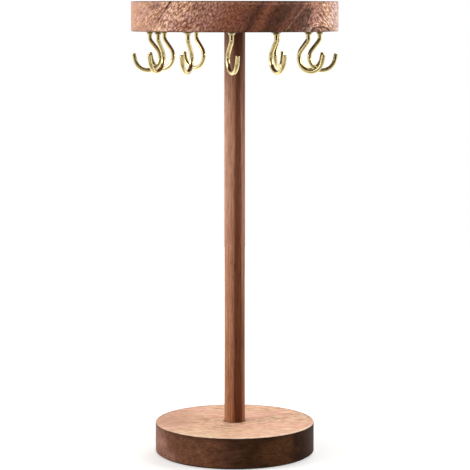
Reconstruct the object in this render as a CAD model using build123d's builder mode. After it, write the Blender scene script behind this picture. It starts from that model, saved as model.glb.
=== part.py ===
from build123d import *
from math import asin, atan2, ceil, degrees, hypot
import os

# Turning jewelry stand: hooks under a round head, on a slim post and a round base.
# Millimetres. It stands on z = 0 with the origin under its middle, and +Z is up.
# Azimuths run anticlockwise, seen from above, from -Y, the side that faces the user.

# Wooden parts
base_diameter = 106.4
base_thickness = 20.0
post_diameter = 13.8
post_exposed_length = 260.0
head_diameter = 136.0
head_thickness = 19.5
edge_chamfer = 0.7
post_edge_chamfer = 0.5

# Clearances, each on the radius
glue_clearance = 0.05
running_clearance = 0.05
thread_clearance = 0.05
bolt_hole_clearance = 0.25

# Soft pad under the base
pad_thickness = 1.0
pad_inset = 2.0

# Threaded brass inserts, one in each end of the post
thread_diameter = 5.0
insert_wall = 1.5
insert_length = 12.0
thread_end_gap = 1.0

# Joint between post and base
socket_depth = 10.0
socket_mouth_chamfer = 0.4
base_web_thickness = 4.0
counterbore_clearance = 1.0
base_bolt_head_diameter = 12.0
base_bolt_head_height = 3.0

# Pivot between post and head
thrust_washer_thickness = 0.5
shoulder_step = 0.5
bush_wall = 1.0
bush_flange_width = 2.0
bush_flange_thickness = 1.0
bush_proud = 0.3
end_play = 0.1
pivot_head_diameter = 11.0
pivot_head_height = 4.0
socket_key_size = 3.0
socket_key_depth = 2.0
screw_edge_chamfer = 0.4

# Plug over the pivot screw
pocket_side_room = 3.5
plug_thickness = 3.5
plug_gap = 1.6

# Hooks. Each twist is how far a hook was left turned from straight out.
hook_twists = [23, 1, 5, 2, -4, 14, 10, 22, 6, 12, 33, 12]
hook_count = len(hook_twists)
first_hook_azimuth = -2.0
hook_rim_distance = 12.2
wire_diameter = 2.8
shank_length = 9.0
shank_point_chamfer = 1.0
pilot_hole_spare = 1.0
bend_drop = 5.7
bend_radius = 4.0
bowl_radius = 8.4
bowl_centre_drop = 17.1
bowl_centre_offset = 1.7
mouth_angle = 12.0
tip_length = 4.5
tip_chamfer = 0.45
wire_sides = 10
bend_step = 18.0

# Flared collar at the root of each hook
collar_rim_width = 1.8
collar_rim_height = 0.4
collar_neck_wall = 0.4
collar_height = 1.9

# Heights worked out from the sizes above
base_bottom = pad_thickness
base_top = base_bottom + base_thickness
socket_floor = base_top - socket_depth
counterbore_ceiling = socket_floor - base_web_thickness
post_length = socket_depth + post_exposed_length
post_top = base_top + post_exposed_length
head_bottom = post_top + thrust_washer_thickness
head_top = head_bottom + head_thickness
pocket_depth = plug_thickness + plug_gap + pivot_head_height + end_play + bush_proud
bush_length = head_thickness - pocket_depth + bush_proud
pivot_head_bottom = head_bottom + bush_length + end_play

# Radii and circles worked out from the sizes above
thread_radius = thread_diameter / 2 - thread_clearance
thread_engagement = insert_length - thread_end_gap
insert_radius = thread_diameter / 2 + insert_wall
shoulder_radius = thread_diameter / 2 + shoulder_step
shoulder_bore_radius = shoulder_radius + running_clearance
bush_radius = shoulder_bore_radius + bush_wall
bush_flange_radius = bush_radius + bush_flange_width
plug_radius = pivot_head_diameter / 2 + pocket_side_room
hook_circle_radius = head_diameter / 2 - hook_rim_distance
wire_hole_radius = wire_diameter / 2 + glue_clearance
collar_radius = wire_diameter / 2 + collar_rim_width
collar_flare_inset = collar_radius - wire_hole_radius - collar_neck_wall

os.makedirs("parts", exist_ok=True)


def write(shape, name):
    """Label a finished piece and write it to its own file."""
    shape.label = name
    export_step(shape, f"parts/{name}.step")


def hook_plane(index):
    """The upright plane of one hook: origin at its root, x outward along the hook, y up."""
    azimuth = first_hook_azimuth + index * 360 / hook_count
    root = Vector(0, -hook_circle_radius, head_bottom).rotate(Axis.Z, azimuth)
    outward = Vector(0, -1, 0).rotate(Axis.Z, azimuth + hook_twists[index])
    return Plane(origin=root, x_dir=outward, z_dir=outward.cross(Vector(0, 0, 1)))


def wire_plane(plane):
    """The plane of the wire's section at a hook's root, facing down."""
    return Plane(origin=plane.origin, x_dir=plane.z_dir, z_dir=(0, 0, -1))


hook_planes = [hook_plane(index) for index in range(hook_count)]

# Base: a disc with the post's socket above and the bolt's counterbore below
with BuildPart() as base:
    with BuildSketch(Plane.XY.offset(base_bottom)):
        Circle(base_diameter / 2)
    extrude(amount=base_thickness)
    chamfer(base.edges().filter_by(GeomType.CIRCLE), edge_chamfer)
    with Locations(Plane.XY.offset(base_top)):
        Hole(post_diameter / 2 + glue_clearance, depth=socket_depth)
    chamfer(base.faces().sort_by(Axis.Z)[-1].inner_wires().edges(), socket_mouth_chamfer)
    with Locations(Plane(origin=(0, 0, base_bottom), z_dir=(0, 0, -1))):
        CounterBoreHole(
            radius=thread_diameter / 2 + bolt_hole_clearance,
            counter_bore_radius=base_bolt_head_diameter / 2 + counterbore_clearance,
            counter_bore_depth=counterbore_ceiling - base_bottom,
            depth=base_thickness,
        )
write(base.part, "base")

# Pad: a soft disc glued under the base
with BuildPart() as base_pad:
    with BuildSketch():
        Circle(base_diameter / 2 - pad_inset)
    extrude(amount=pad_thickness)
write(base_pad.part, "base_pad")

# Base bolt: draws the post down into the base
with BuildPart() as base_bolt:
    with BuildSketch(Plane.XY.offset(counterbore_ceiling)):
        Circle(thread_radius)
    extrude(amount=base_web_thickness + thread_engagement)
    with BuildSketch(Plane.XY.offset(counterbore_ceiling)):
        Circle(base_bolt_head_diameter / 2)
    extrude(amount=-base_bolt_head_height)
    chamfer(base_bolt.faces().sort_by(Axis.Z)[0].edges(), screw_edge_chamfer)
    with BuildSketch(Plane(origin=(0, 0, counterbore_ceiling - base_bolt_head_height), z_dir=(0, 0, -1))):
        RegularPolygon(socket_key_size / 2, 6, major_radius=False)
    extrude(amount=-socket_key_depth, mode=Mode.SUBTRACT)
write(base_bolt.part, "base_bolt")

# Post: a rod with an insert's hole in each end
with BuildPart() as post:
    with BuildSketch(Plane.XY.offset(socket_floor)):
        Circle(post_diameter / 2)
    extrude(amount=post_length)
    chamfer(post.faces().sort_by(Axis.Z)[0].edges(), post_edge_chamfer)
    with Locations(Plane(origin=(0, 0, socket_floor), z_dir=(0, 0, -1)), Plane.XY.offset(post_top)):
        Hole(insert_radius + glue_clearance, depth=insert_length)
write(post.part, "post")


def make_insert(bottom):
    """A threaded insert, shown with plain walls, that fills its hole in the post."""
    with BuildPart() as insert:
        with BuildSketch(Plane.XY.offset(bottom)):
            Circle(insert_radius)
            Circle(thread_diameter / 2, mode=Mode.SUBTRACT)
        extrude(amount=insert_length)
    return insert.part


write(make_insert(socket_floor), "foot_insert")
write(make_insert(post_top - insert_length), "top_insert")

# Thrust washer: the head turns on it
with BuildPart() as thrust_washer:
    with BuildSketch(Plane.XY.offset(post_top)):
        Circle(post_diameter / 2)
        Circle(shoulder_bore_radius, mode=Mode.SUBTRACT)
    extrude(amount=thrust_washer_thickness)
write(thrust_washer.part, "thrust_washer")

# Pivot screw: its shoulder seats on the post's insert and sets the end play
with BuildPart() as pivot_screw:
    with BuildSketch(Plane.XY.offset(post_top)):
        Circle(thread_radius)
    extrude(amount=-thread_engagement)
    with BuildSketch(Plane.XY.offset(post_top)):
        Circle(shoulder_radius)
    extrude(amount=pivot_head_bottom - post_top)
    with BuildSketch(Plane.XY.offset(pivot_head_bottom)):
        Circle(pivot_head_diameter / 2)
    extrude(amount=pivot_head_height)
    chamfer(pivot_screw.faces().sort_by(Axis.Z)[-1].edges(), screw_edge_chamfer)
    with BuildSketch(Plane.XY.offset(pivot_head_bottom + pivot_head_height)):
        RegularPolygon(socket_key_size / 2, 6, major_radius=False)
    extrude(amount=-socket_key_depth, mode=Mode.SUBTRACT)
write(pivot_screw.part, "pivot_screw")

# Pivot bush: a flanged sleeve pressed into the head from below
with BuildPart() as pivot_bush:
    with BuildSketch(Plane.XY.offset(head_bottom)):
        Circle(bush_radius)
    extrude(amount=bush_length)
    with BuildSketch(Plane.XY.offset(head_bottom)):
        Circle(bush_flange_radius)
    extrude(amount=bush_flange_thickness)
    with Locations(Plane.XY.offset(head_bottom + bush_length)):
        Hole(shoulder_bore_radius, depth=bush_length)
write(pivot_bush.part, "pivot_bush")

# Head: a disc with the bush's seat, the screw's pocket and a pilot hole for each hook
with BuildPart() as head_disc:
    with BuildSketch(Plane.XY.offset(head_bottom)):
        Circle(head_diameter / 2)
    extrude(amount=head_thickness)
    chamfer(head_disc.edges().filter_by(GeomType.CIRCLE), edge_chamfer)
    with Locations(Plane.XY.offset(head_top)):
        Hole(plug_radius + glue_clearance, depth=pocket_depth)
    with Locations(Plane(origin=(0, 0, head_bottom), z_dir=(0, 0, -1))):
        CounterBoreHole(
            radius=bush_radius + glue_clearance,
            counter_bore_radius=bush_flange_radius + glue_clearance,
            counter_bore_depth=bush_flange_thickness,
            depth=head_thickness,
        )
    with BuildSketch(*[wire_plane(plane) for plane in hook_planes]):
        RegularPolygon(wire_hole_radius, wire_sides)
    extrude(amount=-(shank_length + pilot_hole_spare), mode=Mode.SUBTRACT)
write(head_disc.part, "head_disc")

# Plug over the screw's pocket, level with the head's top
with BuildPart() as top_plug:
    with BuildSketch(Plane.XY.offset(head_top - plug_thickness)):
        Circle(plug_radius)
    extrude(amount=plug_thickness)
write(top_plug.part, "top_plug")

# Collars: one flared ring round each hook's root, against the wood
with BuildPart() as hook_collars:
    for plane in hook_planes:
        with BuildSketch(wire_plane(plane)):
            RegularPolygon(collar_radius, wire_sides)
        extrude(amount=collar_height)
        neck = hook_collars.faces(Select.LAST).sort_by(Axis.Z)[0]
        chamfer(neck.edges(), collar_flare_inset, collar_height - collar_rim_height, reference=neck)
    with BuildSketch(*[wire_plane(plane) for plane in hook_planes]):
        RegularPolygon(wire_hole_radius, wire_sides)
    extrude(amount=collar_height, mode=Mode.SUBTRACT)
write(hook_collars.part, "hook_collars")


def hook_route(plane):
    """Points along a hook's centre line: the ends of straight runs, and even steps round bends."""
    bowl_drop = bowl_centre_drop - bend_drop
    reach = hypot(bowl_centre_offset, bowl_drop)
    slant = degrees(asin(bowl_radius / reach) - atan2(bowl_centre_offset, bowl_drop))
    with BuildLine(plane) as route:
        bowl = CenterArc(
            center=(bowl_centre_offset, -bowl_centre_drop),
            radius=bowl_radius,
            start_angle=180 - slant,
            arc_size=180 + slant - mouth_angle,
        )
        FilletPolyline((0, shank_length), (0, -bend_drop), bowl @ 0, radius=bend_radius)
        PolarLine(bowl @ 1, tip_length, direction=bowl % 1)
    points = []
    for run in Wire(route.line.edges()).order_edges():
        steps = 1
        if run.geom_type == GeomType.CIRCLE:
            steps = ceil(degrees(run.length / run.radius) / bend_step)
        points += [run @ (step / steps) for step in range(steps)]
    return points + [run @ 1]


def make_hook(plane):
    """A bent wire: shank in the wood, stem, slant inward, round bowl and short tip.

    Flats stand in for the wire's round section, and short steps for its bends, which keeps a hook light.
    """
    points = hook_route(plane)
    with BuildPart() as hook:
        with BuildLine() as centre_line:
            Polyline(*points)
        with BuildSketch(wire_plane(plane).offset(-shank_length)):
            RegularPolygon(wire_diameter / 2, wire_sides)
        sweep(path=centre_line.line, transition=Transition.RIGHT)
        chamfer(hook.faces().sort_by_distance(points[-1])[0].edges(), tip_chamfer)
        chamfer(hook.faces().sort_by(Axis.Z)[-1].edges(), shank_point_chamfer)
    return hook.part


# Hooks: alike, each in its own place
for number, plane in enumerate(hook_planes, start=1):
    write(make_hook(plane), f"hook_{number:02d}")
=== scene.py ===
"""Jewelry stand: a turning wooden head with brass cup hooks, on a slim post and a round base.

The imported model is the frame. The turned wood, the hooks and their collars are built here as smooth pieces
in the places of their CAD nodes, and the small hardware keeps its CAD meshes under better materials.
Lengths are in metres, and +Z is up. The front, which the camera faces, is -Y.
"""
from math import acos, asin, atan2, ceil, cos, degrees, pi, radians, sin, tan

import bpy
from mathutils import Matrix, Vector


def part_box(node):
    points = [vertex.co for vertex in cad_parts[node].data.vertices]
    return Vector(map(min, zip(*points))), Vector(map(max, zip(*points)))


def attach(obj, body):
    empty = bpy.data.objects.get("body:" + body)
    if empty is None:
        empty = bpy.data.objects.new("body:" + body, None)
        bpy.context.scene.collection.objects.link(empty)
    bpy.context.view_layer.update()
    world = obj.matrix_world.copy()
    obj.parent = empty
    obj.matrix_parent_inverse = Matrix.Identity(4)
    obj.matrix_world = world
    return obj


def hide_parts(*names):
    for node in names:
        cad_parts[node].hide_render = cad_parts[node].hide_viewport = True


MM = 0.001

# Camera, level with the head and looking a little down
CAMERA_PLACE = (0.0002, -1.243, 0.2954)
CAMERA_PITCH_DOWN = 6.82
CAMERA_LENS = 144.15
CAMERA_NEAREST = 0.05

# Studio
FLOOR_RADIUS = 1.1
FLOOR_CORNERS = 96
FLOOR_HEIGHT = -0.05 * MM
AMBIENT = 0.42
AMBIENT_TINT = (1.0, 0.985, 0.965, 1.0)
LAMP_TARGET = (0.0, 0.0, 0.16)
LAMPS = (
    ("key", (-1.40, -0.40, 0.85), 0.9, 13.5),
    ("fill", (1.40, -0.15, 0.75), 0.9, 11.0),
    ("back", (0.30, 1.00, 1.10), 0.8, 7.0),
)

# The floor's own light for the camera, near the stand and further out, and the distances between
FLOOR_LIFT = (0.42, 0.85)
FLOOR_LIFT_REACH = (0.08, 0.45)

# What reflections see: strengths, and the cosines between which each side's edge is soft
UNLIT_SIDE = (0.2, -0.98, 0.0)
UNLIT_EDGE = (0.42, 0.82)
CEILING_SIDE = (0.0, 0.0, 1.0)
CEILING_EDGE = (0.25, 0.70)
MIRRORED_LIT = 1.2
MIRRORED_UNLIT = 0.06
MIRRORED_CEILING = 0.4
MIRRORED_FLOOR = 0.85

# Places along y between which the mirrored floor brightens, dims in front, and stops being dim
MIRRORED_FLOOR_EDGE = (-0.30, 0.20)
DIM_FLOOR_START = (0.10, -0.14)
DIM_FLOOR_END = (-0.50, -0.34)

# Turned wood
EDGE_RADIUS = 0.8 * MM
POST_EDGE_RADIUS = 0.4 * MM
SOCKET_EDGE_RADIUS = 0.4 * MM
WOOD_GAP = 0.05 * MM
TURNED_SEGMENTS = 192
ROUNDING_STEP = 15.0
ON_AXIS = 1e-7

# Seats in the wood: the bush's flange, the bolt's counterbore and the web above it
FLANGE_DEPTH = 1.0 * MM
FLANGE_WIDTH = 2.0 * MM
BUSH_STANDS_PROUD = 0.3 * MM
COUNTERBORE_ROOM = 1.0 * MM
BASE_WEB = 4.0 * MM
BOLT_HOLE_RADIUS = 2.75 * MM

# Hooks: the same centre line as their solids
HOOK_TWISTS = (23, 1, 5, 2, -4, 14, 10, 22, 6, 12, 33, 12)
FIRST_HOOK_AZIMUTH = -2.0
HOOK_RIM_DISTANCE = 12.2 * MM
WIRE_RADIUS = 1.4 * MM
BEND_DROP = 5.7 * MM
BEND_RADIUS = 4.0 * MM
BOWL_RADIUS = 8.4 * MM
BOWL_CENTRE_DROP = 17.1 * MM
BOWL_CENTRE_OFFSET = 1.7 * MM
MOUTH_ANGLE = 12.0
TIP_LENGTH = 4.5 * MM
TIP_ROUNDING = 0.55 * MM
TIP_STEPS = 4
WIRE_SEGMENTS = 24
ARC_STEP = 5.0

# Foam pad
PAD_RIM_ROUNDING = 0.35 * MM

# Flared collars
COLLAR_RADIUS = 3.2 * MM
COLLAR_NECK_RADIUS = 1.8 * MM
COLLAR_HEIGHT = 1.9 * MM
COLLAR_RIM_HEIGHT = 0.4 * MM
COLLAR_GRIP = 0.05 * MM
COLLAR_SEGMENTS = 40
FLARE_STEPS = 8
BRIGHT_COLLARS = (1, 8, 12)

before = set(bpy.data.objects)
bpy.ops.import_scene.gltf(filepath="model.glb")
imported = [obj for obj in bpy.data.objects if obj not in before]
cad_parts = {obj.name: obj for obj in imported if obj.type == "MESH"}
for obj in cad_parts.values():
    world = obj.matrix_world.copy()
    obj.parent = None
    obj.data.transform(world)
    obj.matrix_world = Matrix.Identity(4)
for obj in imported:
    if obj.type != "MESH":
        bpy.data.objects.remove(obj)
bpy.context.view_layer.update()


def height_range(node):
    """Lowest and highest height of a CAD node."""
    low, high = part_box(node)
    return low.z, high.z


def radius_of(node):
    """Outer radius of a round CAD node on the stand's axis."""
    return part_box(node)[1].x


HEAD_BOTTOM, HEAD_TOP = height_range("head_disc")
HEAD_RADIUS = radius_of("head_disc")
POST_BOTTOM, POST_TOP = height_range("post")
POST_RADIUS = radius_of("post")
BASE_BOTTOM, BASE_TOP = height_range("base")
BASE_RADIUS = radius_of("base")
HOOK_CIRCLE_RADIUS = HEAD_RADIUS - HOOK_RIM_DISTANCE


# Shapes


def fillet(before, corner, after, radius, step=ARC_STEP):
    """Points of an arc of that radius in place of a corner between two straight runs, in the plane."""
    back = (before - corner).normalized()
    on = (after - corner).normalized()
    turn = pi - acos(max(-1.0, min(1.0, back.dot(on))))
    reach = radius * tan(turn / 2)
    start, end = corner + back * reach, corner + on * reach
    centre = corner + (back + on).normalized() * (radius / cos(turn / 2))
    count = max(2, ceil(degrees(turn) / step))
    from_centre, to_centre = start - centre, end - centre
    points = []
    for index in range(count + 1):
        share = index / count
        a, b = sin((1 - share) * turn) / sin(turn), sin(share * turn) / sin(turn)
        points.append(centre + from_centre * a + to_centre * b)
    return points


def eased(corners):
    """A profile with its corners rounded. Each corner is (radius, height, rounding)."""
    points = []
    for index, (radius, height, rounding) in enumerate(corners):
        here = Vector((radius, height))
        if rounding == 0:
            points.append(here)
            continue
        before = Vector(corners[index - 1][:2])
        after = Vector(corners[(index + 1) % len(corners)][:2])
        points += fillet(before, here, after, rounding, ROUNDING_STEP)
    return points


def mesh_object(name, vertices, faces, sharp_angle=35):
    """A smooth-shaded mesh piece with sharp edges where its faces turn by more than that angle."""
    mesh = bpy.data.meshes.new(name)
    mesh.from_pydata([tuple(v) for v in vertices], [], faces)
    mesh.update()
    mesh.shade_smooth()
    mesh.set_sharp_from_angle(angle=radians(sharp_angle))
    piece = bpy.data.objects.new(name, mesh)
    bpy.context.scene.collection.objects.link(piece)
    weighted = piece.modifiers.new("Even normals", "WEIGHTED_NORMAL")
    weighted.keep_sharp = True
    return piece


def ring_faces(first, second, count):
    """Quads between two rings of vertices, given by their first indices."""
    return [
        (first + i, first + (i + 1) % count, second + (i + 1) % count, second + i)
        for i in range(count)
    ]


def turned(name, profile, segments=TURNED_SEGMENTS, centre=(0.0, 0.0)):
    """A lathe-turned piece from a closed profile of (radius, height), anticlockwise from the axis's foot."""
    vertices, faces, rings = [], [], []
    for radius, height in profile:
        rings.append((len(vertices), radius < ON_AXIS))
        count = 1 if radius < ON_AXIS else segments
        for i in range(count):
            angle = 2 * pi * i / segments
            vertices.append((centre[0] + radius * cos(angle), centre[1] + radius * sin(angle), height))
    for (first, first_pole), (second, second_pole) in zip(rings, rings[1:] + rings[:1]):
        if first_pole and second_pole:
            continue
        if first_pole:
            faces += [(first, second + (i + 1) % segments, second + i) for i in range(segments)]
        elif second_pole:
            faces += [(first + i, first + (i + 1) % segments, second) for i in range(segments)]
        else:
            faces += ring_faces(first, second, segments)
    return mesh_object(name, vertices, faces)


def hook_line():
    """A hook's centre line in its own plane, from inside the wood to the tip: x outward and y up."""
    centre = Vector((BOWL_CENTRE_OFFSET, -BOWL_CENTRE_DROP))
    bend = Vector((0.0, -BEND_DROP))
    reach = centre - bend
    slant = asin(BOWL_RADIUS / reach.length) - atan2(reach.x, -reach.y)
    start, end = pi - slant, 2 * pi - radians(MOUTH_ANGLE)
    count = ceil(degrees(end - start) / ARC_STEP)
    bowl = []
    for index in range(count + 1):
        angle = start + (end - start) * index / count
        bowl.append(centre + BOWL_RADIUS * Vector((cos(angle), sin(angle))))
    root = Vector((0.0, COLLAR_HEIGHT))
    tip = bowl[-1] + TIP_LENGTH * Vector((-sin(end), cos(end)))
    return [root, *fillet(root, bend, bowl[0], BEND_RADIUS), *bowl, tip]


def hook_place(index):
    """Root and outward direction of one hook on the head's underside."""
    azimuth = radians(FIRST_HOOK_AZIMUTH + index * 360 / len(HOOK_TWISTS))
    facing = azimuth + radians(HOOK_TWISTS[index])
    root = Vector((HOOK_CIRCLE_RADIUS * sin(azimuth), -HOOK_CIRCLE_RADIUS * cos(azimuth), HEAD_BOTTOM))
    return root, Vector((sin(facing), -cos(facing), 0.0))


def make_hook(name, index):
    """A round bent wire with a rounded tip."""
    root, outward = hook_place(index)
    up, side = Vector((0, 0, 1)), outward.cross(Vector((0, 0, 1)))
    line = hook_line()
    stations = [(point, WIRE_RADIUS) for point in line[:-1]]
    along = (line[-1] - line[-2]).normalized()
    for step in range(TIP_STEPS + 1):
        angle = pi / 2 * step / TIP_STEPS
        back = TIP_ROUNDING * (1 - sin(angle))
        stations.append((line[-1] - along * back, WIRE_RADIUS - TIP_ROUNDING * (1 - cos(angle))))
    vertices, faces = [], []
    for number, (point, radius) in enumerate(stations):
        before = stations[max(number - 1, 0)][0]
        after = stations[min(number + 1, len(stations) - 1)][0]
        heading = (after - before).normalized()
        across = Vector((heading.y, -heading.x))
        for i in range(WIRE_SEGMENTS):
            angle = 2 * pi * i / WIRE_SEGMENTS
            flat = point + across * radius * cos(angle)
            vertices.append(root + outward * flat.x + up * flat.y + side * radius * sin(angle))
        if number:
            faces += ring_faces((number - 1) * WIRE_SEGMENTS, number * WIRE_SEGMENTS, WIRE_SEGMENTS)
    last = (len(stations) - 1) * WIRE_SEGMENTS
    faces.append(tuple(range(WIRE_SEGMENTS))[::-1])
    faces.append(tuple(range(last, last + WIRE_SEGMENTS)))
    return mesh_object(name, vertices, faces)


def collar_profile():
    """A trumpet: a thin rim against the wood, drawn in below to a narrow neck round the wire."""
    flare_height = COLLAR_HEIGHT - COLLAR_RIM_HEIGHT
    flare_width = COLLAR_RADIUS - COLLAR_NECK_RADIUS
    flare = []
    for step in range(FLARE_STEPS + 1):
        angle = pi / 2 * step / FLARE_STEPS
        radius = COLLAR_RADIUS - flare_width * sin(angle)
        height = HEAD_BOTTOM - COLLAR_RIM_HEIGHT - flare_height * (1 - cos(angle))
        flare.append((radius, height))
    inner = WIRE_RADIUS - COLLAR_GRIP
    bore = [(inner, HEAD_BOTTOM), (inner, HEAD_BOTTOM - COLLAR_HEIGHT)]
    return [*bore, *flare[::-1], (COLLAR_RADIUS, HEAD_BOTTOM)]


# Materials


def linear(red, green, blue):
    """A screen colour of 0 to 255 as a linear colour."""
    values = [v / 255 for v in (red, green, blue)]
    return (*[v / 12.92 if v <= 0.04045 else ((v + 0.055) / 1.055) ** 2.4 for v in values], 1.0)


WHITE = (1.0, 1.0, 1.0, 1.0)

# Wood colours, from pale sapwood to dark heartwood, with the browns of painted shade among them
PEACH = linear(232, 186, 158)
SHELL = linear(216, 178, 162)
SAND = linear(216, 166, 139)
TAN = linear(204, 154, 130)
ROSE = linear(198, 149, 126)
CLAY = linear(176, 124, 104)
COCOA = linear(170, 118, 96)
RUSSET = linear(152, 100, 80)
RUST = linear(144, 87, 66)
UMBER = linear(126, 79, 60)
MAROON = linear(120, 70, 46)
DARK = linear(90, 54, 38)
CONTACT_SHADOW_BROWN = linear(84, 40, 22)
CRACK_BROWN = linear(84, 30, 6)
UNDERSIDE_SHADE = linear(70, 54, 44)
INK = linear(62, 36, 28)
PORE = linear(56, 30, 22)
STAIN = linear(44, 26, 18)

# The head's figure: colours by distance in millimetres from the middle, along the slanted growth layers
HEAD_FIGURE = (
    (-74, SAND), (-57, TAN), (-47.5, ROSE), (-43.5, SAND), (-36, TAN), (-31, CLAY), (-25, COCOA),
    (-16, CLAY), (-9, RUSSET), (1, RUST), (8, UMBER), (13, DARK), (19.5, RUST), (24, DARK),
    (31, DARK), (35, UMBER), (38, DARK), (44.5, MAROON), (47.5, CLAY), (50.5, CLAY), (55, ROSE),
    (59, SAND), (63, SHELL), (74, SHELL),
)

# How strongly the cut cells show along the figure, from its left end at 0 to its right end at 1
HEAD_SPECKLE = (
    (0.0, 0.50), (0.12, 0.75), (0.20, 0.85), (0.27, 1.2), (0.36, 1.1), (0.45, 0.75), (0.60, 0.5),
    (0.74, 0.55), (0.82, 1.0), (0.90, 1.5), (1.0, 1.5),
)

# Slopes of the layers, as sideways shift per unit of height, and the places along x between which each
# takes over from the last
FIGURE_SLOPE = 0.66
STEEP_SLOPE = 0.28
STEEP_FROM = (38.0, 49.0)
OUTER_SLOPE = -0.8
OUTER_FROM = (49.0, 53.0)

# The crack's place along the figure, and how far beside it its pale rim runs
CRACK_PLACE = -46.5
CRACK_RIM_SHIFT = 1.9

# Light seams: place, slope, strength and colour
SEAMS = ((-28.2, 0.12, 0.45, SAND), (-19.8, 0.40, 0.28, ROSE), (39.1, 0.80, 0.42, CLAY))

# Growth rings round a small heart, by distance from it
RING_CENTRE = 54.4
RING_HALF_WIDTH = 6.4
RING_HEIGHT = 3.4
RING_REACH = 2.4
RING_COLOURS = (
    (0.0, CLAY), (0.30, RUSSET), (0.38, INK), (0.42, INK), (0.48, PEACH), (0.56, PEACH), (0.62, ROSE),
    (0.68, PEACH), (0.80, ROSE), (1.0, SAND),
)

# Dark patches by the crack and by the rings, and a small slanted fleck above the rings:
# place across and drop from the top, half sizes, slope and strength
HEAD_PATCHES = (
    ((-50.3, 3.2), (2.6, 2.4), 0.3, 0.6),
    ((44.0, 10.5), (4.4, 7.5), 0.6, 0.85),
    ((44.2, 17.0), (4.8, 3.6), 0.4, 0.75),
    ((56.0, 11.0), (0.7, 2.4), -0.9, 0.7),
)

# Where a patch's soft edge starts and ends, as shares of its half sizes
SPOT_EDGE = (0.55, 1.15)

# Places along y between which the marks that only the front has fade in
NEAR_FRONT = (-22.0, -34.0)

# The darkest that a cut cell can be, as a share of the colour round it, and how much faster its green and
# blue fall off than its red
DARKEST_CELL = 0.42
GREEN_POWER = 1.4
BLUE_POWER = 1.65

# Depths of the fine relief
WOOD_RELIEF = 0.06 * MM
METAL_RELIEF = 0.004 * MM
FOAM_RELIEF = 0.05 * MM

# Brown that the brass darkens to beside the wood, over how many millimetres, and smudges per millimetre of
# metal
NEAR_WOOD_BROWN = linear(62, 38, 18)
NEAR_WOOD_FADE = 0.5
SMUDGES = 0.9

# The floor's paint, and how reflections see it just in front of the stand
FLOOR_PAINT = linear(228, 227, 225)
DIM_FLOOR_PAINT = linear(164, 163, 160)


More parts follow.
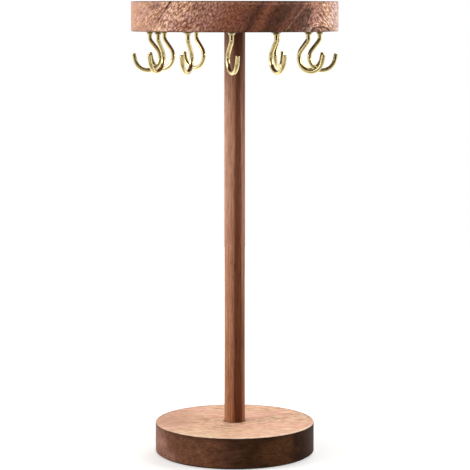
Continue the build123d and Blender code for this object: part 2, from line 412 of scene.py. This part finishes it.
class Shader:
    """Short calls for one material's node tree. An input is a value or another node's output."""

    def __init__(self, name):
        self.material = bpy.data.materials.new(name)
        self.material.use_nodes = True
        self.tree = self.material.node_tree
        self.tree.nodes.clear()

    def node(self, kind, settings=None, inputs=None):
        node = self.tree.nodes.new("ShaderNode" + kind)
        for key, value in (settings or {}).items():
            setattr(node, key, value)
        for key, value in (inputs or {}).items():
            if isinstance(value, bpy.types.NodeSocket):
                self.tree.links.new(value, node.inputs[key])
            else:
                node.inputs[key].default_value = value
        return node

    def math(self, operation, first, second=0.0):
        return self.node("Math", {"operation": operation}, {0: first, 1: second}).outputs[0]

    def plus(self, first, second):
        return self.math("ADD", first, second)

    def minus(self, first, second):
        return self.math("SUBTRACT", first, second)

    def times(self, first, second):
        return self.math("MULTIPLY", first, second)

    def over(self, first, second):
        return self.math("DIVIDE", first, second)

    def apart(self, first, second):
        """How far two numbers are apart."""
        return self.math("ABSOLUTE", self.minus(first, second))

    def length(self, first, second):
        """Length of the hypotenuse over two numbers."""
        return self.math("SQRT", self.plus(self.times(first, first), self.times(second, second)))

    def sheared(self, across, upward, slope):
        """A place across, moved back by slope per unit of height."""
        return self.minus(across, self.times(upward, slope))

    def scaled(self, vector, scales):
        return self.node("VectorMath", {"operation": "MULTIPLY"}, {0: vector, 1: scales}).outputs[0]

    def split(self, vector):
        return self.node("SeparateXYZ", inputs={0: vector}).outputs

    def join(self, x, y, z):
        return self.node("CombineXYZ", inputs={0: x, 1: y, 2: z}).outputs[0]

    def place(self):
        """The point's place on the object, in millimetres."""
        return self.scaled(self.node("TexCoord").outputs["Object"], (1 / MM,) * 3)

    def noise(self, vector, scales, detail=2.0, roughness=0.5):
        """Noise from 0 to 1. scales are cycles per millimetre along x, y and z."""
        vector = self.scaled(vector, scales)
        inputs = {"Vector": vector, "Scale": 1.0, "Detail": detail, "Roughness": roughness}
        return self.node("TexNoise", inputs=inputs).outputs["Fac"]

    def spread(self, value, low, high, out_low=0.0, out_high=1.0, smooth=False):
        """Value from low to high brought to out_low to out_high."""
        settings = {"interpolation_type": "SMOOTHSTEP" if smooth else "LINEAR", "clamp": True}
        inputs = {"Value": value, "From Min": low, "From Max": high, "To Min": out_low, "To Max": out_high}
        return self.node("MapRange", settings, inputs).outputs[0]

    def noise_to(self, noise, low, high, smooth=False):
        """Noise, which mostly lies from 0.3 to 0.7, brought to low to high."""
        return self.spread(noise, 0.3, 0.7, low, high, smooth)

    def waver(self, vector, scales, reach, detail=2.0, smooth=False):
        """Noise brought to -reach to reach."""
        return self.noise_to(self.noise(vector, scales, detail), -reach, reach, smooth)

    def ramp(self, value, stops):
        """Colours or greys by value. Each stop is (place, colour)."""
        node = self.node("ValToRGB", inputs={0: value})
        elements = node.color_ramp.elements
        while len(elements) < len(stops):
            elements.new(0.5)
        for element, (place, colour) in zip(elements, stops):
            element.position = place
            element.color = colour if isinstance(colour, tuple) else (colour, colour, colour, 1.0)
        return node.outputs[0]

    def mix(self, share, first, second, blend="MIX"):
        """Second colour over the first. 6 and 7 are the node's colour inputs, and 2 is its colour output."""
        settings = {"data_type": "RGBA", "blend_type": blend}
        return self.node("Mix", settings, {"Factor": share, 6: first, 7: second}).outputs[2]

    def tinted(self, colour, tint, share=1.0):
        """A colour multiplied by another."""
        return self.mix(share, colour, tint, "MULTIPLY")

    def shaded(self, colour, shade, share=1.0):
        """A colour multiplied by a number."""
        return self.tinted(colour, self.join(shade, shade, shade), share)

    def spot(self, across, upward, centre, half_size, slope):
        """1 inside a soft slanted ellipse and 0 outside."""
        rise = self.minus(upward, centre[1])
        shift = self.sheared(self.minus(across, centre[0]), rise, slope)
        reach = self.length(self.over(shift, half_size[0]), self.over(rise, half_size[1]))
        return self.spread(reach, *SPOT_EDGE, 1.0, 0.0, smooth=True)

    def bump(self, height, distance):
        inputs = {"Height": height, "Distance": distance, "Strength": 1.0}
        return self.node("Bump", inputs=inputs).outputs[0]

    def finish(self, inputs):
        """Ends the tree in one principled surface."""
        surface = self.node("BsdfPrincipled", inputs=inputs)
        output = self.node("OutputMaterial")
        self.tree.links.new(surface.outputs[0], output.inputs["Surface"])
        return self.material


def wood_surface(shader, colour, place, scales, speckle, cells=None, gloss=0.15):
    """Fibres, pores and satin oil over a wood's broad colour.

    scales stretch the detail along the grain. speckle is how strongly the cut cells show, and cells is their
    noise, where it isn't the plain one. gloss is how much the oil on it mirrors.
    """
    fibre = shader.noise(place, [3.2 * s for s in scales], detail=3.0, roughness=0.6)
    cells = cells or shader.noise(place, scales, detail=1.5, roughness=0.55)
    pores = shader.noise(place, [1.7 * s for s in scales], detail=1.0, roughness=0.4)
    open_pore = shader.spread(pores, 0.62, 0.72, smooth=True)

    # Dark cells come out redder, and light ones paler
    cut = shader.times(shader.spread(cells, 0.32, 0.68, -0.5, 0.5), speckle)
    shade = shader.plus(shader.noise_to(fibre, 0.90, 1.10), cut)
    shade = shader.math("MAXIMUM", shade, DARKEST_CELL)
    green, blue = [shader.math("POWER", shade, power) for power in (GREEN_POWER, BLUE_POWER)]
    colour = shader.tinted(colour, shader.join(shade, green, blue))
    relief = shader.minus(shader.times(fibre, 0.5), shader.times(open_pore, 0.8))
    return shader.finish({
        "Base Color": shader.mix(shader.times(open_pore, 0.45), colour, PORE),
        "Roughness": shader.spread(fibre, 0.2, 0.8, 0.58, 0.44),
        "Specular IOR Level": gloss,
        "Normal": shader.bump(relief, WOOD_RELIEF),
    })


def add_crack(shader, colour, y, rise, line):
    """A dark crack in the pale end, fading downward, with a pale rim."""
    off_crack = shader.over(shader.apart(line, CRACK_PLACE), shader.spread(rise, -6.0, 8.0, 0.75, 1.25))
    crack = shader.spread(off_crack, 0.40, 0.85, 1.0, 0.0, smooth=True)
    crack = shader.times(crack, shader.spread(rise, 1.0, 6.0, 0.55, 1.0))
    crack = shader.times(crack, shader.spread(rise, -9.0, -2.0, 0.5, 1.0))
    crack = shader.times(crack, shader.spread(y, -44.0, -8.0, 1.0, 0.35))
    off_rim = shader.apart(line, CRACK_PLACE + CRACK_RIM_SHIFT)
    colour = shader.mix(shader.spread(off_rim, 0.3, 1.3, 0.5, 0.0, smooth=True), colour, PEACH)
    return shader.mix(crack, colour, CRACK_BROWN)


def add_seams(shader, colour, x, rise, wander):
    """Thin light seams, the last one beside the last dark layer."""
    for at, slope, strength, seam_colour in SEAMS:
        line = shader.plus(shader.sheared(x, rise, slope), wander)
        seam = shader.spread(shader.apart(line, at), 0.3, 1.1, strength, 0.0, smooth=True)
        colour = shader.mix(seam, colour, seam_colour)
    return colour


def add_rings(shader, colour, x, z, lean, near_front):
    """Growth rings round a small heart at the right end's lower edge."""
    across = shader.over(shader.minus(x, RING_CENTRE), RING_HALF_WIDTH)
    upward = shader.over(shader.minus(z, HEAD_BOTTOM / MM), RING_HEIGHT)
    ring = shader.plus(shader.length(across, upward), shader.spread(lean, -0.25, 0.25, -0.06, 0.06))
    rings = shader.ramp(shader.spread(ring, 0.0, RING_REACH), RING_COLOURS)
    near_ring = shader.spread(ring, 1.15, 2.0, 0.95, 0.0, smooth=True)
    return shader.mix(shader.times(near_ring, near_front), colour, rings)


def add_patches(shader, colour, x, z, near_front):
    """Dark patches at the front."""
    for (across, drop), half_size, slope, strength in HEAD_PATCHES:
        spot = shader.spot(x, z, (across, HEAD_TOP / MM - drop), half_size, slope)
        colour = shader.mix(shader.times(shader.times(spot, near_front), strength), colour, DARK)
    return colour


def paint_head_rim_light(shader, colour, x, y, rise):
    """Painted light on both rims: painted shade darkens them, and a painted highlight runs as a light line
    beside the upper one.
    """
    half_height = (HEAD_TOP - HEAD_BOTTOM) / 2 / MM
    rim_radius = HEAD_RADIUS / MM
    # Painted highlight: a light line just below the upper rim
    rim_highlight = shader.spread(shader.apart(rise, half_height - 1.7), 0.2, 0.9, 0.22, 0.0)
    colour = shader.mix(rim_highlight, colour, SAND)
    at_rim = shader.spread(shader.length(x, y), rim_radius - 1.4, rim_radius - 0.5, smooth=True)
    from_middle = shader.math("ABSOLUTE", rise)
    # Painted shade: the rounded rims are darkened
    dark_rim = shader.spread(from_middle, half_height - 0.95, half_height - 0.25, 0.0, 0.6, smooth=True)
    return shader.mix(shader.times(dark_rim, at_rim), colour, INK)


def layer_place(shader, x, y, rise, slope):
    """The place in the head across the growth layers of that slope, along y and along the layers."""
    return shader.join(shader.sheared(x, rise, slope), y, shader.plus(rise, shader.times(x, slope)))


def make_head_wood():
    """End grain at the front: pale at both ends, dark in the middle, with slanted layers along y."""
    shader = Shader("Head wood")
    place = shader.place()
    x, y, z = shader.split(place)[:3]
    rise = shader.minus(z, (HEAD_BOTTOM + HEAD_TOP) / 2 / MM)
    near_front = shader.spread(y, *NEAR_FRONT, smooth=True)

    slope = shader.spread(x, *STEEP_FROM, FIGURE_SLOPE, STEEP_SLOPE)
    clouds = shader.waver(place, (0.07, 0.012, 0.07), 2.0, detail=3.0)
    low, high = HEAD_FIGURE[0][0], HEAD_FIGURE[-1][0]
    figure = shader.spread(shader.plus(shader.sheared(x, rise, slope), clouds), low, high)
    colour = shader.ramp(figure, [((at - low) / (high - low), tone) for at, tone in HEAD_FIGURE])

    # Lines between the layers wander a little, and more behind the front
    lean = shader.waver(place, (0.09, 0.02, 0.09), 0.25)
    drift = shader.spread(shader.noise(place, (0.0, 0.03, 0.0)), 0.35, 0.65, -1.6, 1.6)
    wander = shader.plus(lean, shader.times(drift, shader.spread(y, -52.0, -30.0)))
    line = shader.plus(shader.sheared(x, rise, FIGURE_SLOPE), wander)
    colour = add_crack(shader, colour, y, rise, line)
    colour = add_seams(shader, colour, x, rise, wander)
    colour = add_rings(shader, colour, x, z, lean, near_front)
    colour = add_patches(shader, colour, x, z, near_front)
    colour = paint_head_rim_light(shader, colour, x, y, rise)

    # Patches of a warmer and a cooler brown
    warmth = shader.noise(place, (0.11, 0.02, 0.14))
    warmth = shader.ramp(warmth, [(0.38, linear(252, 247, 252)), (0.62, linear(255, 252, 238))])
    colour = shader.tinted(colour, warmth)

    # Painted shade: the underside is darkened, as it lies in the head's shade
    bottom = HEAD_BOTTOM / MM
    colour = shader.mix(shader.spread(z, bottom + 0.1, bottom + 0.01, 0.0, 0.7), colour, UNDERSIDE_SHADE)

    # Thin streaks follow the layers in the pale wood on the left
    layers = layer_place(shader, x, y, rise, FIGURE_SLOPE)
    streaks = shader.noise_to(shader.noise(layers, (0.5, 0.02, 0.04)), 0.80, 1.20)
    colour = shader.shaded(colour, streaks, shader.spread(x, -2.0, -12.0))

    # Cut cells run in short dashes along the layers, and the other way past the rings
    outer_layers = layer_place(shader, x, y, rise, OUTER_SLOPE)
    cells = shader.noise(layers, (1.15, 0.09, 0.42), roughness=0.6)
    outer_cells = shader.noise(outer_layers, (1.0, 0.09, 0.38), roughness=0.6)
    cells = shader.mix(shader.spread(x, *OUTER_FROM, smooth=True), cells, outer_cells)

    # They show most in the pale wood, and where the surface is cut across the grain
    facing = shader.split(shader.node("TexCoord").outputs["Normal"])["Y"]
    end_grain = shader.spread(shader.math("ABSOLUTE", facing), 0.25, 0.75, 0.6, 1.9)
    speckle = shader.times(shader.ramp(figure, HEAD_SPECKLE), end_grain)
    return wood_surface(shader, colour, place, (1.0, 0.12, 1.0), speckle, cells)


def make_plug_wood():
    """Face grain along y, one even brown."""
    shader = Shader("Plug wood")
    place = shader.place()
    streaks = shader.noise(place, (0.55, 0.02, 0.3), detail=3.0)
    colour = shader.ramp(streaks, [(0.25, UMBER), (0.75, RUSSET)])
    return wood_surface(shader, colour, place, (1.0, 0.08, 1.0), 0.35)


def make_post_wood():
    """Straight grain up the rod, with painted light: paler on its left side where the key lamp falls, a
    painted rim highlight at its right edge, painted shade towards the foot and the head's painted shadow
    across the top.
    """
    shader = Shader("Post wood")
    place = shader.place()
    x, _, z = shader.split(place)[:3]
    streaks = shader.noise(place, (0.35, 0.35, 0.010), detail=3.0, roughness=0.6)
    radius = POST_RADIUS / MM
    side = shader.plus(shader.spread(x, -radius, radius), shader.noise_to(streaks, -0.14, 0.14))
    # The wood's brown with painted light across it: paler on the left where the key lamp falls, darker to
    # the right, and a painted rim highlight at the right edge
    colour = shader.ramp(side, [
        (0.0, linear(206, 158, 132)), (0.22, linear(198, 146, 119)), (0.42, linear(172, 118, 94)),
        (0.56, linear(124, 74, 52)), (0.80, linear(113, 66, 41)), (1.0, linear(178, 127, 106)),
    ])
    # Painted shade along the rod: darker and warmer towards the foot, and the head's painted shadow
    # darkening the top
    tone = shader.ramp(shader.spread(z, POST_BOTTOM / MM, POST_TOP / MM), [
        (0.0, linear(212, 194, 172)), (0.17, linear(220, 204, 184)), (0.31, linear(238, 226, 214)),
        (0.62, WHITE), (0.78, WHITE), (0.88, linear(238, 236, 236)), (1.0, linear(216, 212, 212)),
    ])
    return wood_surface(shader, shader.tinted(colour, tone), place, (1.0, 1.0, 0.07), 0.30, gloss=0.10)


def base_top(shader, place, x, y, z):
    """Pale wood with wavy grain along x."""
    across = shader.plus(y, shader.waver(place, (0.02, 0.02, 0.02), 4.0))
    waves = shader.noise(shader.join(x, across, z), (0.040, 0.20, 0.05), detail=4.0, roughness=0.62)
    top = shader.ramp(waves, [
        (0.30, linear(190, 124, 86)), (0.40, linear(244, 194, 158)), (0.46, linear(255, 218, 186)),
        (0.51, linear(190, 128, 92)), (0.56, linear(254, 212, 178)), (0.66, linear(204, 142, 108)),
    ])
    top = shader.mix(shader.spread(x, -16.0, -42.0, 0.0, 0.6), top, TAN)
    top = shader.mix(shader.spread(y, -18.0, -46.0, 0.0, 0.65), top, linear(255, 218, 178))
    blush = shader.noise(place, (0.03, 0.07, 0.03), detail=1.0)
    top = shader.mix(shader.spread(blush, 0.48, 0.66, 0.0, 0.5, smooth=True), top, linear(240, 180, 158))

    # Painted highlight: the upper rim is painted light in front, least at the left. Behind, the rim is
    # darker
    from_rim = shader.minus(BASE_RADIUS / MM, shader.length(x, y))
    rim_highlight = shader.times(shader.spread(from_rim, 2.4, 0.9, 0.0, 0.7), shader.spread(y, -4.0, -16.0))
    rim_highlight = shader.times(rim_highlight, shader.spread(x, -44.0, -24.0, 0.25, 1.0))
    top = shader.mix(rim_highlight, top, linear(255, 228, 202))
    dark_rim = shader.times(shader.spread(from_rim, 2.6, 1.4, 0.0, 0.6), shader.spread(y, 4.0, 16.0))
    return shader.mix(dark_rim, top, RUSSET)


def base_side(shader, place, x, z):
    """A dark stain, cloudy and mottled, and darker towards the upper rim. Along x its tone is partly the
    stain's own and partly painted light: palest at the left end, where the key lamp falls, with a painted
    shadow in the darkest band near the right end.
    """
    clouds = shader.waver(place, (0.04, 0.04, 0.07), 8.0, detail=1.5, smooth=True)
    # Tone along x: the stain's own variation, with painted light at the pale left end and a painted shadow
    # in the dark band near the right end
    side = shader.ramp(shader.spread(shader.plus(x, clouds), -60.0, 60.0), [
        (0.0, linear(190, 146, 128)), (0.07, linear(158, 114, 98)), (0.18, linear(120, 78, 60)),
        (0.36, linear(104, 66, 46)), (0.46, linear(88, 56, 42)), (0.52, linear(72, 45, 30)),
        (0.64, linear(62, 39, 24)), (0.73, linear(80, 50, 29)), (0.83, linear(76, 46, 28)),
        (0.89, linear(44, 24, 12)), (1.0, linear(60, 36, 22)),
    ])
    mottle = shader.noise(place, (0.14, 0.3, 0.34), detail=4.0, roughness=0.65)
    side = shader.shaded(side, shader.spread(mottle, 0.32, 0.68, 0.72, 1.3))
    rim = BASE_TOP / MM
    return shader.mix(shader.spread(z, rim - 4.0, rim - 0.6, 0.0, 0.45, smooth=True), side, STAIN)


def make_base_wood():
    """Pale top over a dark stained side, with a painted contact shadow round the post."""
    shader = Shader("Base wood")
    place = shader.place()
    x, y, z = shader.split(place)[:3]
    rim = BASE_TOP / MM
    face_up = shader.spread(z, rim - 0.55, rim - 0.15, smooth=True)
    colour = shader.mix(face_up, base_side(shader, place, x, z), base_top(shader, place, x, y, z))
    # Painted contact shadow: a dark brown ring round the post's foot
    from_post = shader.minus(shader.length(x, y), POST_RADIUS / MM)
    colour = shader.mix(shader.spread(from_post, 0.2, 1.3, 0.75, 0.0, smooth=True), colour, CONTACT_SHADOW_BROWN)
    return wood_surface(shader, colour, place, (0.1, 1.0, 1.0), 0.36, gloss=0.03)


def make_metal(name, colour, roughness, darkens_above=None):
    """Bare metal with fine smudges in its gloss and colour.

    Above that height, given as its last argument, it darkens towards the wood.
    """
    shader = Shader(name)
    place = shader.place()
    smudge = shader.noise(place, (SMUDGES,) * 3, detail=4.0)
    colour = shader.shaded(colour, shader.noise_to(smudge, 0.86, 1.04))
    if darkens_above is not None:
        height = shader.plus(shader.split(place)["Z"], shader.noise_to(smudge, -0.15, 0.15))
        low = darkens_above / MM
        near_wood = shader.spread(height, low, low + NEAR_WOOD_FADE, 0.0, 0.85, smooth=True)
        colour = shader.mix(near_wood, colour, NEAR_WOOD_BROWN)
    return shader.finish({
        "Base Color": colour,
        "Metallic": 1.0,
        "Roughness": shader.noise_to(smudge, roughness * 0.75, roughness * 1.35),
        "Normal": shader.bump(shader.noise(place, (4.0,) * 3), METAL_RELIEF),
    })


def make_soft(name, colour, roughness):
    """Foam or plastic with a fine even texture."""
    shader = Shader(name)
    place = shader.place()
    cells = shader.noise(place, (2.6,) * 3, detail=3.0)
    return shader.finish({
        "Base Color": shader.shaded(colour, shader.noise_to(cells, 0.8, 1.15)),
        "Roughness": roughness,
        "Normal": shader.bump(cells, FOAM_RELIEF),
    })


def dress(piece, material, body, slot, *nodes):
    """Give a new piece its material and its body, and hide the CAD nodes that it stands for."""
    piece.data.materials.clear()
    piece.data.materials.append(material)
    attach(piece, body)
    if nodes:
        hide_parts(*nodes)


head_wood = make_head_wood()
post_wood = make_post_wood()
base_wood = make_base_wood()
brass = make_metal("Polished brass", linear(224, 206, 150), 0.14, darkens_above=HEAD_BOTTOM - 1.1 * MM)
aged_brass = make_metal("Aged brass", linear(214, 192, 130), 0.20, darkens_above=HEAD_BOTTOM - 1.7 * MM)
insert_brass = make_metal("Plain brass", linear(190, 158, 92), 0.32)
bronze = make_metal("Bearing bronze", linear(168, 122, 70), 0.38)
steel = make_metal("Zinc plated steel", linear(188, 190, 194), 0.28)
nylon = make_soft("Black nylon", linear(34, 32, 31), 0.5)
foam = make_soft("Pad foam", linear(26, 25, 25), 0.85)

# The head: a disc with the plug's pocket above and the bush's seat below
plug_bore = radius_of("top_plug") + WOOD_GAP
flange_bore = radius_of("pivot_bush") + WOOD_GAP
bush_bore = flange_bore - FLANGE_WIDTH
flange_seat = HEAD_BOTTOM + FLANGE_DEPTH
pocket_floor = height_range("pivot_bush")[1] - BUSH_STANDS_PROUD
head = turned("head_turned", eased([
    (bush_bore, pocket_floor, 0),
    (bush_bore, flange_seat, 0),
    (flange_bore, flange_seat, 0),
    (flange_bore, HEAD_BOTTOM, 0),
    (HEAD_RADIUS, HEAD_BOTTOM, EDGE_RADIUS),
    (HEAD_RADIUS, HEAD_TOP, EDGE_RADIUS),
    (plug_bore, HEAD_TOP, 0),
    (plug_bore, pocket_floor, 0),
]))
dress(head, head_wood, "head", "head_wood", "head_disc")

# The post: a rod with eased ends, bored for its inserts
insert_bore = radius_of("foot_insert") + WOOD_GAP
foot_insert_top = height_range("foot_insert")[1]
top_insert_bottom = height_range("top_insert")[0]
post = turned("post_turned", eased([
    (0.0, foot_insert_top, 0),
    (insert_bore, foot_insert_top, 0),
    (insert_bore, POST_BOTTOM, 0),
    (POST_RADIUS, POST_BOTTOM, POST_EDGE_RADIUS),
    (POST_RADIUS, POST_TOP, POST_EDGE_RADIUS),
    (insert_bore, POST_TOP, 0),
    (insert_bore, top_insert_bottom, 0),
    (0.0, top_insert_bottom, 0),
]))
dress(post, post_wood, "stand", "post_wood", "post")

# The base: a disc with the post's socket above and the bolt's counterbore below
counterbore_radius = radius_of("base_bolt") + COUNTERBORE_ROOM
counterbore_ceiling = POST_BOTTOM - BASE_WEB
socket_radius = POST_RADIUS + WOOD_GAP
base = turned("base_turned", eased([
    (counterbore_radius, counterbore_ceiling, 0),
    (counterbore_radius, BASE_BOTTOM, 0),
    (BASE_RADIUS, BASE_BOTTOM, EDGE_RADIUS),
    (BASE_RADIUS, BASE_TOP, EDGE_RADIUS),
    (socket_radius, BASE_TOP, SOCKET_EDGE_RADIUS),
    (socket_radius, POST_BOTTOM, 0),
    (BOLT_HOLE_RADIUS, POST_BOTTOM, 0),
    (BOLT_HOLE_RADIUS, counterbore_ceiling, 0),
]))
dress(base, base_wood, "stand", "base_wood", "base")

# The pad: a thin foam disc with a soft rim
pad_bottom, pad_top = height_range("base_pad")
pad_radius = radius_of("base_pad")
pad = turned("base_pad_foam", eased([
    (0.0, pad_bottom, 0),
    (pad_radius, pad_bottom, PAD_RIM_ROUNDING),
    (pad_radius, pad_top, PAD_RIM_ROUNDING),
    (0.0, pad_top, 0),
]))
dress(pad, foam, "stand", "pad", "base_pad")

# Hooks and their collars
for index in range(len(HOOK_TWISTS)):
    node = f"hook_{index + 1:02d}"
    dress(make_hook(f"{node}_wire", index), brass, "head", "hook_brass", node)
    root = hook_place(index)[0]
    collar = turned(f"{node}_collar", collar_profile(), COLLAR_SEGMENTS, centre=(root.x, root.y))
    collar_metal = brass if index + 1 in BRIGHT_COLLARS else aged_brass
    dress(collar, collar_metal, "head", "hook_brass", "hook_collars")

# The rest keeps its CAD shapes
for node, material in {
    "top_plug": make_plug_wood(), "thrust_washer": nylon, "base_bolt": steel, "pivot_screw": steel,
    "foot_insert": insert_brass, "top_insert": insert_brass, "pivot_bush": bronze,
}.items():
    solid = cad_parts[node]
    solid.data.materials.clear()
    solid.data.materials.append(material)


# Floor, light and camera


def make_floor():
    """A pale floor that keeps the stand's soft shadow, lifted to white further out for the camera.

    Reflections see it white behind the stand, and dim just in front of it.
    """
    shader = Shader("Studio floor")
    x, y = shader.split(shader.node("TexCoord").outputs["Object"])[:2]
    rays = shader.node("LightPath").outputs
    glossy = rays["Is Glossy Ray"]
    seen = shader.math("MAXIMUM", rays["Is Camera Ray"], rays["Is Transmission Ray"])
    lift = shader.spread(shader.length(x, y), *FLOOR_LIFT_REACH, *FLOOR_LIFT, smooth=True)
    mirrored = shader.spread(y, *MIRRORED_FLOOR_EDGE, 0.0, MIRRORED_FLOOR, smooth=True)
    strength = shader.plus(shader.times(seen, lift), shader.times(glossy, mirrored))
    glow = shader.node("Emission", inputs={"Color": WHITE, "Strength": strength}).outputs[0]
    in_front = shader.times(glossy, shader.spread(y, *DIM_FLOOR_START, smooth=True))
    in_front = shader.times(in_front, shader.spread(y, *DIM_FLOOR_END, smooth=True))
    paint = shader.mix(in_front, FLOOR_PAINT, DIM_FLOOR_PAINT)
    painted = shader.node("BsdfDiffuse", inputs={"Color": paint}).outputs[0]
    both = shader.node("AddShader", inputs={0: painted, 1: glow}).outputs[0]
    output = shader.node("OutputMaterial")
    shader.tree.links.new(both, output.inputs["Surface"])
    angles = [2 * pi * i / FLOOR_CORNERS for i in range(FLOOR_CORNERS)]
    corners = [(FLOOR_RADIUS * cos(angle), FLOOR_RADIUS * sin(angle), 0.0) for angle in angles]
    mesh = bpy.data.meshes.new("floor")
    mesh.from_pydata(corners, [], [tuple(range(FLOOR_CORNERS))])
    floor = bpy.data.objects.new("floor", mesh)
    floor.location.z = FLOOR_HEIGHT
    floor.data.materials.append(shader.material)
    bpy.context.scene.collection.objects.link(floor)


def make_world():
    """White to the camera, soft on the object, and in reflections a white studio with one unlit side."""
    world = bpy.data.worlds.new("Studio")
    bpy.context.scene.world = world
    world.use_nodes = True
    tree = world.node_tree
    tree.nodes.clear()
    rays = tree.nodes.new("ShaderNodeLightPath").outputs
    direction = tree.nodes.new("ShaderNodeTexCoord").outputs["Generated"]

    def facing(side, edge, elsewhere, there):
        """Strength from elsewhere to there, by how nearly a direction points to that side."""
        towards = tree.nodes.new("ShaderNodeVectorMath")
        towards.operation = "DOT_PRODUCT"
        tree.links.new(direction, towards.inputs[0])
        towards.inputs[1].default_value = side
        node = tree.nodes.new("ShaderNodeMapRange")
        node.interpolation_type = "SMOOTHSTEP"
        names = ("From Min", "From Max", "To Min", "To Max")
        for name, value in zip(names, (*edge, elsewhere, there)):
            node.inputs[name].default_value = value
        tree.links.new(towards.outputs["Value"], node.inputs["Value"])
        return node.outputs[0]

    lit = tree.nodes.new("ShaderNodeMath")
    lit.operation = "MULTIPLY"
    tree.links.new(facing(UNLIT_SIDE, UNLIT_EDGE, MIRRORED_LIT, MIRRORED_UNLIT), lit.inputs[0])
    tree.links.new(facing(CEILING_SIDE, CEILING_EDGE, 1.0, MIRRORED_CEILING), lit.inputs[1])

    def background(colour, strength):
        node = tree.nodes.new("ShaderNodeBackground")
        node.inputs["Color"].default_value = colour
        if isinstance(strength, float):
            node.inputs["Strength"].default_value = strength
        else:
            tree.links.new(strength, node.inputs["Strength"])
        return node.outputs[0]

    def choose(share, without, with_share):
        node = tree.nodes.new("ShaderNodeMixShader")
        for socket, source in zip(node.inputs, (share, without, with_share)):
            tree.links.new(source, socket)
        return node.outputs[0]

    ambient = background(AMBIENT_TINT, AMBIENT)
    mirrored = background(WHITE, lit.outputs[0])
    white = background(WHITE, 1.0)
    light = choose(rays["Is Glossy Ray"], ambient, mirrored)
    output = tree.nodes.new("ShaderNodeOutputWorld")
    tree.links.new(choose(rays["Is Camera Ray"], light, white), output.inputs["Surface"])


def add_lamp(name, place, target, size, power):
    """A square soft light aimed at a point."""
    data = bpy.data.lights.new(name, "AREA")
    data.shape, data.size, data.energy = "SQUARE", size, power
    lamp = bpy.data.objects.new(name, data)
    lamp.location = place
    lamp.rotation_euler = (Vector(target) - Vector(place)).to_track_quat("-Z", "Y").to_euler()
    bpy.context.scene.collection.objects.link(lamp)


make_floor()
make_world()
for name, place, size, power in LAMPS:
    add_lamp(name, place, LAMP_TARGET, size, power)

camera_data = bpy.data.cameras.new("camera")
camera_data.lens = CAMERA_LENS
camera_data.clip_start = CAMERA_NEAREST
camera = bpy.data.objects.new("camera", camera_data)
camera.location = CAMERA_PLACE
camera.rotation_euler = (radians(90 - CAMERA_PITCH_DOWN), 0.0, 0.0)
bpy.context.scene.collection.objects.link(camera)
bpy.context.scene.camera = camera
bpy.context.scene.view_settings.view_transform = "Standard"
